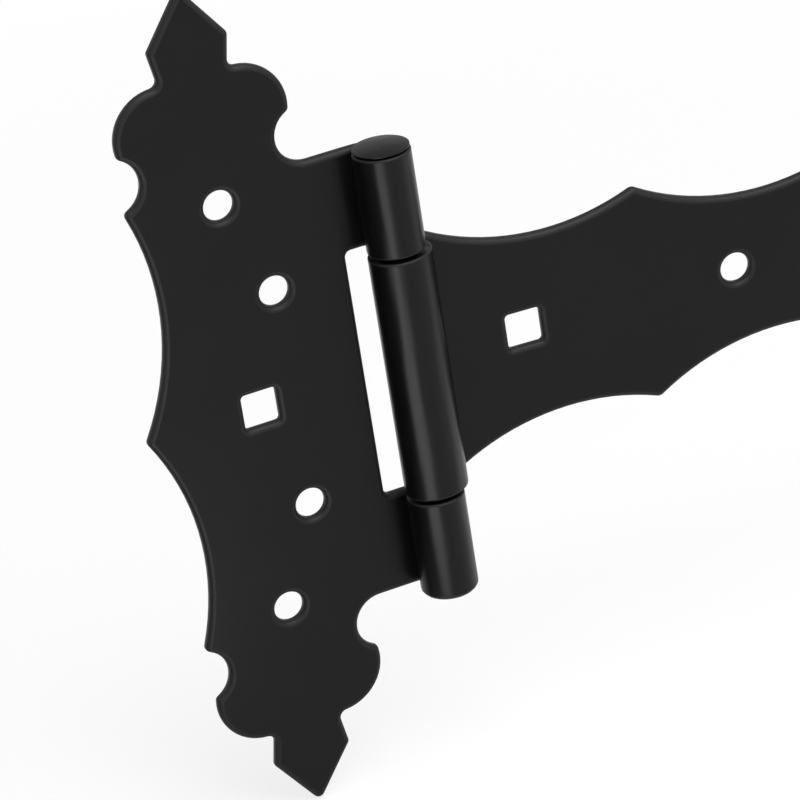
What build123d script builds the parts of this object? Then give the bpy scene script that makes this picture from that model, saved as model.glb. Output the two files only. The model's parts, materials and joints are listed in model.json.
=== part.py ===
from build123d import *
from math import acos, cos, degrees, radians, sin, sqrt, tan
import os

# Ornamental gate hinge: a cross leaf for the post, a strap for the gate and the pin that joins them.
# X runs from the post towards the gate, Z up along the pin, and Y into the post. The origin lies on the
# leaf's back, half way between its two outer screw holes.

# Sheet, barrel and pin
sheet_t = 2.5
edge_break = 0.5
end_round = 0.8
pin_r = 4.5
running_gap = 0.08
pin_x = 38.75
pin_y = -8.4
entry_r = 18.0
rest_swing = 4.0

# Cross leaf: heights from mid-height, finial widths from the finial's own axis
tab_z = 57.15
slot_z = 32.0
slot_reach = 10.4
leaf_wrap = 278.0
leaf_ease_r = 20.0
leaf_ease = 4.0
finial_x = -0.7
tip_z = 106.35
shoulder = (9.86, 92.95)
notch = (8.42, 84.5)
lobe_centre = (9.73, 73.05)
lobe_r = 11.68
waist_x = 23.65
waist_r = 6.85
cusp = (-22.72, 57.0)
cusp_waist_r = 7.1
edge_cusp_x = -27.25
edge_arc_r = 65.5

# Strap: distances from the pin axis, half widths from its middle line
knuckle_z = 31.0
strap_wrap = 142.0
strap_ease_r = 5.9
strap_ease = 112.0
scallop_r = 60.0
scallop_count = 3
scallop_pitch = 55.2
scallop_drop = 4.95
first_scallop = (39.1, 23.28)
point_x = 161.0
point_angle = 36.4

# Fastener holes
hole_r = 3.75
square_side = 8.8
square_round = 1.0
outer_hole_z = 52.5
inner_hole = (9.75, 27.8)
leaf_square_x = 1.5
strap_square_x = 30.1
strap_hole_pitch = 55.1

# Pin: a low domed head with an undercut side on top, and a lower end that is peened over
neck_r = 5.6
head_r = 6.8
head_t = 0.75
head_rim = 0.2
head_dome = 0.65
peen_r = 6.6
peen_t = 0.7
peen_break = 0.45

# Rounding of the punched outline's corners
tip_round = 1.6
corner_round = 1.4
notch_round = 1.8
cusp_round = 1.4
edge_cusp_round = 1.5
slot_round = 1.5
scallop_round = 2.0

# The pin's own frame, and the same frame swung with the strap
stand = -pin_y
pin_frame = Plane((pin_x, pin_y, 0))
strap_frame = pin_frame.rotated((0, 0, -rest_swing))


def upright(frame, depth):
    """Upright plane that faces the front, this far behind the pin axis."""
    return Plane(frame.from_local_coords((0, depth, 0)), x_dir=frame.x_dir, z_dir=-frame.y_dir)


def entry_bend(bore_r):
    """Angle of the easy bend that leads a plate into its roll, and the bend's centre seen from the pin."""
    middle_r = bore_r + sheet_t / 2
    plate_middle = stand - sheet_t / 2
    angle = acos((entry_r - plate_middle) / (entry_r - middle_r))
    return degrees(angle), (entry_r - middle_r) * sin(angle), plate_middle - entry_r


def rolled_section(side, bore_r, wrap, ease_r, ease):
    """Sheet edge rolled round the pin: its plate leaves towards side, its free end opens on an easier arc."""
    bend, centre_x, centre_y = entry_bend(bore_r)
    start = 90 + side * bend
    open_at = start + side * wrap
    open_centre = Vector(bore_r - ease_r, 0).rotate(Axis.Z, open_at)
    with BuildSketch(mode=Mode.PRIVATE) as section:
        with BuildLine():
            back = CenterArc((side * centre_x, centre_y), entry_r + sheet_t / 2, 90, side * bend)
            front = CenterArc((side * centre_x, centre_y), entry_r - sheet_t / 2, 90, side * bend)
            CenterArc((0, 0), bore_r + sheet_t, start, side * wrap)
            CenterArc((0, 0), bore_r, start, side * wrap)
            outer_end = CenterArc(open_centre, ease_r + sheet_t, open_at, side * ease)
            inner_end = CenterArc(open_centre, ease_r, open_at, side * ease)
            Line(outer_end @ 1, inner_end @ 1)
            Line(back @ 0, front @ 0)
        make_face()
        for corner in (outer_end @ 1, inner_end @ 1):
            fillet(section.vertices().sort_by_distance(corner)[0], end_round)
    return section.sketch


def corners(sketch, x, z):
    """Corners of an outline at x, above and below its middle line."""
    return sketch.vertices().filter_by(lambda v: abs(v.X - x) < 0.01 and abs(abs(v.Y) - z) < 0.01)


# Cross leaf: half of the outline drawn above mid-height and mirrored, with both tabs rolled into knuckles
to_waist = Vector(waist_x - lobe_centre[0], tab_z + waist_r - lobe_centre[1])
chord_at = (lobe_r**2 - waist_r**2 + to_waist.length**2) / (2 * to_waist.length)
half_chord = sqrt(lobe_r**2 - chord_at**2)
across = to_waist.normalized().rotate(Axis.Z, 90)
lobe_foot = Vector(*lobe_centre) + to_waist.normalized() * chord_at + across * half_chord
tab_end_x = pin_x - entry_bend(pin_r)[1]
slot_x = pin_x - slot_reach

with BuildPart() as cross_leaf:
    with BuildSketch(Plane.XZ) as leaf_outline:
        with BuildLine():
            for side in (1, -1):
                Polyline(
                    (finial_x, tip_z),
                    (finial_x + side * shoulder[0], shoulder[1]),
                    (finial_x + side * notch[0], notch[1]),
                )
                RadiusArc(
                    (finial_x + side * notch[0], notch[1]),
                    (finial_x + side * lobe_foot.X, lobe_foot.Y),
                    side * lobe_r,
                )
            RadiusArc((finial_x + lobe_foot.X, lobe_foot.Y), (finial_x + waist_x, tab_z), -waist_r)
            RadiusArc((finial_x - lobe_foot.X, lobe_foot.Y), cusp, cusp_waist_r)
            RadiusArc(cusp, (edge_cusp_x, 0), edge_arc_r)
            Polyline(
                (finial_x + waist_x, tab_z),
                (tab_end_x, tab_z),
                (tab_end_x, slot_z),
                (slot_x, slot_z),
                (slot_x, 0),
                (edge_cusp_x, 0),
            )
        make_face()
        mirror(about=Plane.XZ)
        for side in (1, -1):
            fillet(corners(leaf_outline, finial_x + side * notch[0], notch[1]), notch_round)
            for x, z in (shoulder, (lobe_foot.X, lobe_foot.Y)):
                fillet(corners(leaf_outline, finial_x + side * x, z), corner_round)
        fillet(corners(leaf_outline, finial_x, tip_z), tip_round)
        fillet(corners(leaf_outline, *cusp), cusp_round)
        fillet(corners(leaf_outline, edge_cusp_x, 0), edge_cusp_round)
        fillet(corners(leaf_outline, slot_x, slot_z), slot_round)
        with Locations((0, outer_hole_z), (0, -outer_hole_z), inner_hole, (inner_hole[0], -inner_hole[1])):
            Circle(hole_r, mode=Mode.SUBTRACT)
        with Locations((leaf_square_x, 0)):
            RectangleRounded(square_side, square_side, square_round, mode=Mode.SUBTRACT)
    extrude(amount=sheet_t)
    with BuildSketch(pin_frame.offset(slot_z), pin_frame.offset(-tab_z)):
        add(rolled_section(-1, pin_r, leaf_wrap, leaf_ease_r, leaf_ease))
    extrude(amount=tab_z - slot_z)
    across_sheet = cross_leaf.edges().filter_by(Axis.Y)
    bend_lines = cross_leaf.edges().filter_by(Axis.Z).filter_by_position(Axis.X, tab_end_x, pin_x + stand)
    chamfer(cross_leaf.edges() - across_sheet - bend_lines, edge_break)
cross_leaf.part.label = "cross_leaf"

# Strap: half of the scalloped outline drawn above its middle line and mirrored, with its root rolled
strap_bore_r = pin_r + running_gap
scallop_step = Vector(scallop_pitch, -scallop_drop)
rise = sqrt(scallop_r**2 - (scallop_step.length / 2) ** 2)
first_centre = Vector(first_scallop[0], first_scallop[1] + scallop_r)
first_cusp = first_centre + scallop_step / 2 + scallop_step.normalized().rotate(Axis.Z, -90) * rise
root_x = first_centre.X - sqrt(scallop_r**2 - (first_centre.Y - knuckle_z) ** 2)
last_centre = first_centre + scallop_step * (scallop_count - 1)
point_z = last_centre.Y - sqrt(scallop_r**2 - (point_x - last_centre.X) ** 2)
tip_x = point_x + point_z / tan(radians(point_angle))
strap_cusps = [first_cusp + scallop_step * n for n in range(scallop_count - 1)]
plate_start_x = entry_bend(strap_bore_r)[1]

with BuildPart() as strap_leaf:
    with BuildSketch(upright(strap_frame, stand)) as strap_outline:
        with BuildLine():
            edge = Line((plate_start_x, knuckle_z), (root_x, knuckle_z))
            for end in (*strap_cusps, Vector(point_x, point_z)):
                edge = RadiusArc(edge @ 1, end, -scallop_r)
            Polyline(edge @ 1, (tip_x, 0), (plate_start_x, 0), (plate_start_x, knuckle_z))
        make_face()
        mirror(about=Plane.XZ)
        for end in strap_cusps:
            fillet(corners(strap_outline, end.X, end.Y), scallop_round)
        fillet(corners(strap_outline, point_x, point_z), corner_round)
        fillet(corners(strap_outline, tip_x, 0), tip_round)
        fillet(corners(strap_outline, root_x, knuckle_z), scallop_round)
        with Locations((strap_square_x, 0)):
            RectangleRounded(square_side, square_side, square_round, mode=Mode.SUBTRACT)
        with Locations(*[(strap_square_x + n * strap_hole_pitch, 0) for n in range(1, scallop_count)]):
            Circle(hole_r, mode=Mode.SUBTRACT)
    extrude(amount=sheet_t)
    with BuildSketch(strap_frame.offset(-knuckle_z)):
        add(rolled_section(1, strap_bore_r, strap_wrap, strap_ease_r, strap_ease))
    extrude(amount=2 * knuckle_z)
    across_sheet = strap_leaf.edges().filter_by(Axis((0, 0, 0), strap_frame.y_dir))
    bend_lines = strap_leaf.edges().filter_by(Axis.Z)
    chamfer(strap_leaf.edges() - across_sheet - bend_lines, edge_break)
strap_leaf.part.label = "strap_leaf"

# Pin: a plain rod, its domed head above the top knuckle and its lower end peened below the bottom one
dome_r = (head_r**2 + head_dome**2) / (2 * head_dome)

with BuildPart() as hinge_pin:
    with BuildSketch(upright(pin_frame, 0)):
        with BuildLine():
            dome_edge = (head_r, tab_z + head_t)
            dome_top = (0, tab_z + head_t + head_dome)
            Polyline(
                dome_top,
                (0, -tab_z - peen_t),
                (peen_r - peen_break, -tab_z - peen_t),
                (peen_r, -tab_z - peen_t + peen_break),
                (peen_r, -tab_z),
                (pin_r, -tab_z),
                (pin_r, tab_z),
                (neck_r, tab_z),
                (head_r, tab_z + head_t - head_rim),
                dome_edge,
            )
            RadiusArc(dome_edge, dome_top, -dome_r)
        make_face()
    revolve(axis=Axis(pin_frame.origin, pin_frame.z_dir))
hinge_pin.part.label = "hinge_pin"

os.makedirs("parts", exist_ok=True)
for piece in (cross_leaf, strap_leaf, hinge_pin):
    export_step(piece.part, f"parts/{piece.part.label}.step")
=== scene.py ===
import json
from math import cos, radians, sin, tan

import bmesh
import bpy
from mathutils import Matrix, Vector
from mathutils.kdtree import KDTree


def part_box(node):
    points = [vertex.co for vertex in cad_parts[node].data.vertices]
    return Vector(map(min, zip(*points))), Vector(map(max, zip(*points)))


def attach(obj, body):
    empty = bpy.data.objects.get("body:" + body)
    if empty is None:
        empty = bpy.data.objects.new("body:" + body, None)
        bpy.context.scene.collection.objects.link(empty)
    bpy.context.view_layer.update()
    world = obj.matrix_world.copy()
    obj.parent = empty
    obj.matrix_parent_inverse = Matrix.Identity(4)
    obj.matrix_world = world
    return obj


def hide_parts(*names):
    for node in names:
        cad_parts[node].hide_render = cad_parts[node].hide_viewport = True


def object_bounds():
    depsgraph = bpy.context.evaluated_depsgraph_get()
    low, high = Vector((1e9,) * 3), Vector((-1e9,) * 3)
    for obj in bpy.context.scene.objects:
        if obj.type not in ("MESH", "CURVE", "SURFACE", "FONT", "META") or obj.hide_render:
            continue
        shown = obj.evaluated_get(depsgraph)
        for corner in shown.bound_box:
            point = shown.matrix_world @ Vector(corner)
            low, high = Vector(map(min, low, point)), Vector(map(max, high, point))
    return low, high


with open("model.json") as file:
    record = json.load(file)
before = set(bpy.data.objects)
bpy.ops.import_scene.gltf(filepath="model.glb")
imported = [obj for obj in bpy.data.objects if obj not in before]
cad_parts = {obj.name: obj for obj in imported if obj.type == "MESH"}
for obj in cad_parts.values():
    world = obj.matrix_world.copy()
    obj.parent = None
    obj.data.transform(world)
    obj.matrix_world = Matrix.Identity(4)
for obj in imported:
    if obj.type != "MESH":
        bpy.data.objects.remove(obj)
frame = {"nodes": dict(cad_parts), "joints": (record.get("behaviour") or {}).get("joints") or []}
cad_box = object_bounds()


# Cross leaf: the post's plate, punched from thick steel sheet with two gate-side tabs rolled into knuckles.
# It is bead blasted and powder coated in satin black. The baked coat has the fine ripple of all powder coats,
# and it lies thinner and duller on the edges that the punch has rounded.
pin_axis = Vector(frame["joints"][0]["pos_m"])
barrel_reach = 0.0085
barrel_fade = 0.002
mark_stretch = (1.0, 1.0, 0.15)
across_pin = (1.0, 1.0, 0.0)
coat_black = (0.003, 0.003, 0.003)
tone_change = 0.3
ripple_share = 0.75
patch_dulling = 0.08
grain_dulling = 0.05
face_dullness = 0.25
face_gloss = 0.18
edge_dullness = 0.5
edge_gloss = 0.27


class Socket:
    """A node's output, with the sums and products of values written as plain expressions."""

    def __init__(self, tree, output):
        self.tree = tree
        self.output = output

    def feed(self, socket):
        """Links this output to a socket."""
        self.tree.links.new(self.output, socket)

    def node(self, kind, settings=None, take=0, **inputs):
        """Adds a node: first its settings, then its sockets by name, or by number as i0, i1 and so on."""
        made = self.tree.nodes.new(kind)
        for name, value in (settings or {}).items():
            setattr(made, name, value)
        for name, value in inputs.items():
            key = int(name[1:]) if name[1:].isdigit() else name.replace("_", " ")
            if isinstance(value, Socket):
                value.feed(made.inputs[key])
            else:
                made.inputs[key].default_value = value
        return Socket(self.tree, made.outputs[take])

    def math(self, operation, first, second):
        return self.node("ShaderNodeMath", {"operation": operation}, i0=first, i1=second)

    def mix(self, low, high):
        """A colour that goes from low to high as this value goes from 0 to 1."""
        ends = {"i6": (*low, 1.0), "i7": (*high, 1.0)}
        return self.node("ShaderNodeMix", {"data_type": "RGBA"}, take=2, i0=self, **ends)

    def __add__(self, other):
        return self.math("ADD", self, other)

    def __radd__(self, other):
        return self.math("ADD", other, self)

    def __sub__(self, other):
        return self.math("SUBTRACT", self, other)

    def __rsub__(self, other):
        return self.math("SUBTRACT", other, self)

    def __mul__(self, other):
        return self.math("MULTIPLY", self, other)

    def __rmul__(self, other):
        return self.math("MULTIPLY", other, self)


def object_place(tree):
    """Where a point of the surface lies, in the frame that all pieces share."""
    return Socket(tree, tree.nodes.new("ShaderNodeTexCoord").outputs["Object"])


def powder_coat(name, marks, dullness, gloss):
    """Satin black powder coat: fine ripple, patchy sheen, small changes of tone, roll marks on the barrel."""
    made = bpy.data.materials.new(name)
    made.use_nodes = True
    shader = made.node_tree.nodes["Principled BSDF"]
    place = object_place(made.node_tree)
    ripple = place.node("ShaderNodeTexNoise", Vector=place, Scale=900.0, Detail=2.0, Roughness=0.5)
    grain = place.node("ShaderNodeTexNoise", Vector=place, Scale=4200.0, Detail=1.0, Roughness=0.4)
    patch = place.node("ShaderNodeTexNoise", Vector=place, Scale=38.0, Detail=3.0, Roughness=0.6)
    along = place.node("ShaderNodeVectorMath", {"operation": "MULTIPLY"}, i0=place, i1=mark_stretch)
    waves = place.node("ShaderNodeTexNoise", Vector=along, Scale=220.0, Detail=1.0, Roughness=0.5)
    level = place.node("ShaderNodeVectorMath", {"operation": "MULTIPLY"}, i0=place, i1=across_pin)
    from_pin = place.node("ShaderNodeVectorMath", {"operation": "DISTANCE"}, take=1, i0=level, i1=pin_axis)
    rolled = place.node(
        "ShaderNodeMapRange",
        Value=from_pin,
        From_Min=barrel_reach,
        From_Max=barrel_reach + barrel_fade,
        To_Min=marks,
        To_Max=0.0,
    )
    height = ripple_share * ripple + (1 - ripple_share) * grain + rolled * (waves - 0.5)
    bump = place.node("ShaderNodeBump", Strength=0.12, Distance=0.0001, Height=height)
    bump.feed(shader.inputs["Normal"])
    sheen = dullness + patch_dulling * patch + grain_dulling * grain
    sheen.feed(shader.inputs["Roughness"])
    darker = [(1 - tone_change) * part for part in coat_black]
    paler = [(1 + tone_change) * part for part in coat_black]
    patch.mix(darker, paler).feed(shader.inputs["Base Color"])
    shader.inputs["Specular IOR Level"].default_value = gloss
    return made


edge_break = 0.0005
front_round = 0.0013
back_share = 0.4
bend_fade = 0.001
round_segments = 4
same_point = 1e-6
same_corner = 1e-5
flat_angle = radians(0.4)
crease_angle = radians(30)
corner_angle = radians(60)
ahead = 0.5


def scene_object(shape, name):
    """Turns a finished bmesh into an object of the scene."""
    mesh = bpy.data.meshes.new(name)
    shape.to_mesh(mesh)
    shape.free()
    made = bpy.data.objects.new(name, mesh)
    bpy.context.scene.collection.objects.link(made)
    return made


def joined_faces(start, outside=()):
    """The faces that run on from these without a crease."""
    found = set(start)
    growing = list(found)
    while growing:
        for edge in growing.pop().edges:
            if edge.calc_face_angle(0.0) < crease_angle:
                fresh = [face for face in edge.link_faces if face not in found and face not in outside]
                found.update(fresh)
                growing += fresh
    return found


def square_edges(sheet, skin):
    """Takes the broken edges off a sheet, so that its skin and its punched walls meet in plain corners."""
    skin_verts = {vert for face in skin for vert in face.verts}
    border = [v for v in sheet.verts if v in skin_verts and not skin.issuperset(v.link_faces)]
    breaks = joined_faces({face for vert in border for face in vert.link_faces} - skin, skin)
    bmesh.ops.delete(sheet, geom=list(breaks), context="FACES")
    sheet.normal_update()
    finder = KDTree(len(border))
    for number, vert in enumerate(border):
        finder.insert(vert.co, number)
    finder.balance()

    # A wall's vertex and the nearest one of the skin meet in the corner that was cut off between them,
    # and a vertex of the skin that has no such mate moves as its neighbour does
    moves = {}
    for vert in sheet.verts:
        if vert.is_boundary and vert not in skin_verts:
            mate = border[finder.find(vert.co)[1]]
            corner = vert.co + edge_break * mate.normal
            moves[vert] = corner - vert.co
            moves[mate] = corner - mate.co
    for vert in border:
        if vert not in moves:
            beside = [edge.other_vert(vert) for edge in vert.link_edges if edge.is_boundary]
            moves[vert] = next((moves[other] for other in beside if other in moves), Vector())
    for vert, move in moves.items():
        vert.co += move
    bmesh.ops.remove_doubles(sheet, verts=list(moves), dist=same_corner)

    # Where the skin has a vertex more than the wall, a sliver stays open, and it is closed
    slits = [edge for edge in sheet.edges if edge.is_boundary]
    slivers = bmesh.ops.holes_fill(sheet, edges=slits, sides=3)["faces"]
    long_sides = [max(face.edges, key=lambda edge: edge.calc_length()) for face in slivers]
    bmesh.ops.dissolve_edges(sheet, edges=long_sides)


def share_round(sheet, facing, level):
    """Gives the edges of the plate's front the whole round, and the others, rolled ones too, a part of it."""
    share = sheet.edges.layers.float.new("bevel_weight_edge")
    for edge in sheet.edges:
        if edge.calc_face_angle(0.0) > corner_angle:
            height = sum(vert.co.dot(facing) for vert in edge.verts) / 2 - level
            on_front = max(face.normal.dot(facing) for face in edge.link_faces) > ahead
            if on_front and -bend_fade < height < bend_fade:
                edge[share] = 1.0 - (1.0 - back_share) * max(height, 0.0) / bend_fade
            else:
                edge[share] = back_share


def punched_copy(node, name):
    """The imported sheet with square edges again, then rounded: more on its front, where the punch came in."""
    sheet = bmesh.new()
    sheet.from_mesh(frame["nodes"][node].data)
    bmesh.ops.remove_doubles(sheet, verts=sheet.verts, dist=same_point)
    bmesh.ops.dissolve_limit(sheet, angle_limit=flat_angle, verts=sheet.verts, edges=sheet.edges)
    front = max((face for face in sheet.faces if -face.normal.y > ahead), key=lambda face: face.calc_area())
    facing = front.normal.copy()
    level = front.verts[0].co.dot(facing)
    square_edges(sheet, joined_faces([front]))
    share_round(sheet, facing, level)
    for face in sheet.faces:
        face.smooth = True
    piece = scene_object(sheet, name)

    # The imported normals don't fit the new edges, whose rounds get the second material
    attributes = piece.data.attributes
    if "custom_normal" in attributes:
        attributes.remove(attributes["custom_normal"])
    rounding = piece.modifiers.new("edge_round", "BEVEL")
    rounding.limit_method = "WEIGHT"
    rounding.width = front_round
    rounding.segments = round_segments
    rounding.profile = 0.5
    rounding.material = 1
    rounding.loop_slide = False
    rounding.use_clamp_overlap = False
    rounding.harden_normals = True
    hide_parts(node)
    return piece


leaf_marks = 25.0

leaf = punched_copy("cross_leaf", "leaf_plate")
leaf.data.materials.append(powder_coat("leaf_coat", leaf_marks, face_dullness, face_gloss))
leaf.data.materials.append(powder_coat("leaf_edge_coat", leaf_marks, edge_dullness, edge_gloss))
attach(leaf, "leaf")


# Strap: the gate's long scalloped leaf, of the same sheet and coat, its root rolled into the middle knuckle.
# It hangs between the leaf's two knuckles and turns on the pin.
strap_marks = 32.0

strap = punched_copy("strap_leaf", "strap_plate")
strap.data.materials.append(powder_coat("strap_coat", strap_marks, face_dullness, face_gloss))
strap.data.materials.append(powder_coat("strap_edge_coat", strap_marks, edge_dullness, edge_gloss))
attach(strap, "strap")


# Pin: a steel rod through the three knuckles. Its top was upset into a low domed head with a thin rim,
# and its lower end was peened over once the strap was in place. It is coated together with the leaves.
pin_low, pin_high = (corner.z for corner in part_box("hinge_pin"))
rod_r = 0.0045
neck_r = 0.0056
head_r = 0.0068
head_height = 0.0014
head_rim = 0.0002
head_dome = 0.00065
peen_r = 0.0066
peen_height = 0.0007
peen_break = 0.00045
dome_steps = 8
pin_segments = 96
pin_marks = 8.0

head_seat = pin_high - head_height
rim_top = pin_high - head_dome
peen_seat = pin_low + peen_height
profile = [
    (0.0, pin_low),
    (peen_r - peen_break, pin_low),
    (peen_r, pin_low + peen_break),
    (peen_r, peen_seat),
    (rod_r, peen_seat),
    (rod_r, head_seat),
    (neck_r, head_seat),
    (head_r, rim_top - head_rim),
]
for step in range(dome_steps + 1):
    inward = 1 - step / dome_steps
    profile.append((head_r * inward, pin_high - head_dome * inward**2))

turned = bmesh.new()
trace = [turned.verts.new((pin_axis.x + r, pin_axis.y, z)) for r, z in profile]
lines = [turned.edges.new(pair) for pair in zip(trace, trace[1:])]
bmesh.ops.spin(
    turned,
    geom=trace + lines,
    cent=pin_axis,
    axis=(0.0, 0.0, 1.0),
    angle=radians(360),
    steps=pin_segments,
    use_merge=True,
)
bmesh.ops.remove_doubles(turned, verts=turned.verts, dist=same_point)
bmesh.ops.recalc_face_normals(turned, faces=turned.faces)
for edge in turned.edges:
    edge.smooth = edge.calc_face_angle(0.0) < crease_angle
for face in turned.faces:
    face.smooth = True
pin = scene_object(turned, "pin_rod")
pin.data.materials.append(powder_coat("pin_coat", pin_marks, face_dullness, face_gloss))
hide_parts("hinge_pin")
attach(pin, "leaf")


# Floor: a plain matt white board just under the leaf's lower tip, which takes the soft shadow of the hinge.
# To the eye and in reflections it is a little brighter than its paint, and so stays white to its far edge.
floor_gap = 0.0005
floor_z = cad_box[0].z - floor_gap
floor_half = 6.0
floor_white = (0.95, 0.95, 0.95, 1.0)
near_glow = 0.75
even_from = 0.625


def shown_rays(tree):
    """1 where the camera, a reflection or glass shows a surface, and 0 where it lights matt ones."""
    rays = tree.nodes.new("ShaderNodeLightPath").outputs
    seen = Socket(tree, rays["Is Camera Ray"])
    mirrored = Socket(tree, rays["Is Glossy Ray"])
    passed = Socket(tree, rays["Is Transmission Ray"])
    return seen + mirrored + passed


def bare_paint(name):
    """A material with no nodes yet but its output, and that output's surface socket."""
    made = bpy.data.materials.new(name)
    made.use_nodes = True
    made.node_tree.nodes.clear()
    return made, made.node_tree.nodes.new("ShaderNodeOutputMaterial").inputs["Surface"]


board = bmesh.new()
bmesh.ops.create_grid(board, x_segments=1, y_segments=1, size=floor_half)
bmesh.ops.translate(board, verts=board.verts, vec=(0.0, 0.0, floor_z))
floor = scene_object(board, "floor")
floor_paint, surface = bare_paint("floor_paint")
place = object_place(floor_paint.node_tree)
distance = place.node("ShaderNodeVectorMath", {"operation": "LENGTH"}, take=1, i0=place)
evenness = near_glow + (1 - near_glow) * place.math("MINIMUM", (1 / even_from) * distance, 1.0)
glow = place.node("ShaderNodeEmission", Strength=1.0)
matt = place.node("ShaderNodeBsdfDiffuse", Color=floor_white)
glow_share = evenness * shown_rays(floor_paint.node_tree)
place.node("ShaderNodeMixShader", i0=glow_share, i1=matt, i2=glow).feed(surface)
floor.data.materials.append(floor_paint)


# Studio: a white surround that lights matt surfaces less than it shows, and soft boxes overhead and in front.
# Boards on the floor give the barrel its bright line and its dark side, and a grey backdrop shows in the
# pin's head. They appear in reflections alone.
matt_light = 0.35
lit_point = Vector((0.05, 0.0, 0.0))
white = (1.0, 1.0, 1.0)
board_near = 0.095
board_far = 0.6
board_lift = 0.002
second_grey = (0.2, 0.2, 0.2)
backdrop_half = 0.6
backdrop_centre = (0.3, 0.7, floor_z + backdrop_half)
backdrop_grey = (0.4, 0.4, 0.4)

world = bpy.data.worlds.new("studio")
bpy.context.scene.world = world
world.use_nodes = True
background = world.node_tree.nodes["Background"]
background.inputs["Color"].default_value = (*white, 1.0)
surround = matt_light + (1 - matt_light) * shown_rays(world.node_tree)
surround.feed(background.inputs["Strength"])


def soft_box(name, place, width, height, power):
    """A large lamp that faces the hinge."""
    lamp = bpy.data.lights.new(name, "AREA")
    lamp.shape = "RECTANGLE"
    lamp.size = width
    lamp.size_y = height
    lamp.energy = power
    box = bpy.data.objects.new(name, lamp)
    bpy.context.scene.collection.objects.link(box)
    box.location = place
    box.rotation_euler = (lit_point - Vector(place)).to_track_quat("-Z", "Y").to_euler()
    box.visible_camera = False


soft_box("overhead", (0.15, -0.30, 0.75), width=0.7, height=0.6, power=7.0)
soft_box("front", (0.40, -0.92, 0.70), width=0.6, height=1.0, power=3.6)


def reflected_board(name, shape, strength):
    """Finishes a board that shows only as a reflection, and returns its material's nodes and its glow."""
    board = scene_object(shape, name)
    board.visible_camera = False
    board.visible_diffuse = False
    board.visible_shadow = False
    paint, surface = bare_paint(name)
    glow = paint.node_tree.nodes.new("ShaderNodeEmission")
    glow.inputs["Strength"].default_value = strength
    paint.node_tree.links.new(glow.outputs[0], surface)
    board.data.materials.append(paint)
    return paint.node_tree, glow


def floor_board(name, heading, spread, strength):
    """A fan-shaped board low in front of the barrel. Its heading is in degrees from the front to the post."""
    fan = bmesh.new()
    bmesh.ops.create_grid(fan, x_segments=1, y_segments=1, size=0.5)
    for vert in fan.verts:
        reach = board_near + (board_far - board_near) * (vert.co.y + 0.5)
        vert.co = (2 * vert.co.x * reach * tan(radians(spread)), reach, 0.0)
    bmesh.ops.rotate(fan, verts=fan.verts, matrix=Matrix.Rotation(radians(180 - heading), 3, "Z"))
    bmesh.ops.translate(fan, verts=fan.verts, vec=(pin_axis.x, pin_axis.y, floor_z + board_lift))
    return reflected_board(name, fan, strength)


floor_board("dark_board", heading=77.0, spread=23.0, strength=0.0)
floor_board("side_board", heading=-80.0, spread=18.0, strength=1.4)

# In a second reflection the bright board is no brighter than the floor, so that the barrel's dark side
# doesn't pick it up from the plate
tree, glow = floor_board("bright_board", heading=36.0, spread=17.0, strength=5.0)
bounces = Socket(tree, tree.nodes.new("ShaderNodeLightPath").outputs["Ray Depth"])
first = bounces.math("LESS_THAN", bounces, 1.5)
first.mix(second_grey, white).feed(glow.inputs["Color"])

# The backdrop darkens towards its top
screen = bmesh.new()
bmesh.ops.create_grid(screen, x_segments=1, y_segments=1, size=backdrop_half)
bmesh.ops.rotate(screen, verts=screen.verts, matrix=Matrix.Rotation(radians(90), 3, "X"))
bmesh.ops.translate(screen, verts=screen.verts, vec=backdrop_centre)
tree, glow = reflected_board("grey_backdrop", screen, strength=0.75)
place = object_place(tree)
height = place.node("ShaderNodeSeparateXYZ", take=2, Vector=place)
height.mix(white, backdrop_grey).feed(glow.inputs["Color"])


# Camera: in front and above, on the post side of the hinge, and turned a little about its own axis.
# It has a long lens, which keeps the plates' outlines nearly parallel.
turn = radians(-19.916)
tilt = radians(25.299)
roll = radians(-9.158)
aim = Vector((0.0419316, -0.002386, 0.0))
sideways = -0.004268
upwards = -0.009605
away = 1.088612

lens = bpy.data.cameras.new("camera")
lens.sensor_width = 36.0
lens.lens = 207.06
lens.clip_start = 0.05
lens.clip_end = 50.0
camera = bpy.data.objects.new("camera", lens)
bpy.context.scene.collection.objects.link(camera)
right = Vector((cos(turn), sin(turn), 0.0))
back = Vector((sin(turn) * cos(tilt), -cos(turn) * cos(tilt), sin(tilt)))
up = back.cross(right)
rolled_right = cos(roll) * right + sin(roll) * up
rolled_up = cos(roll) * up - sin(roll) * right
stand = aim + sideways * rolled_right + upwards * rolled_up + away * back
facing = Matrix((rolled_right, rolled_up, back)).transposed()
camera.matrix_world = Matrix.Translation(stand) @ facing.to_4x4()
bpy.context.scene.camera = camera

bpy.context.scene.view_settings.view_transform = "Standard"
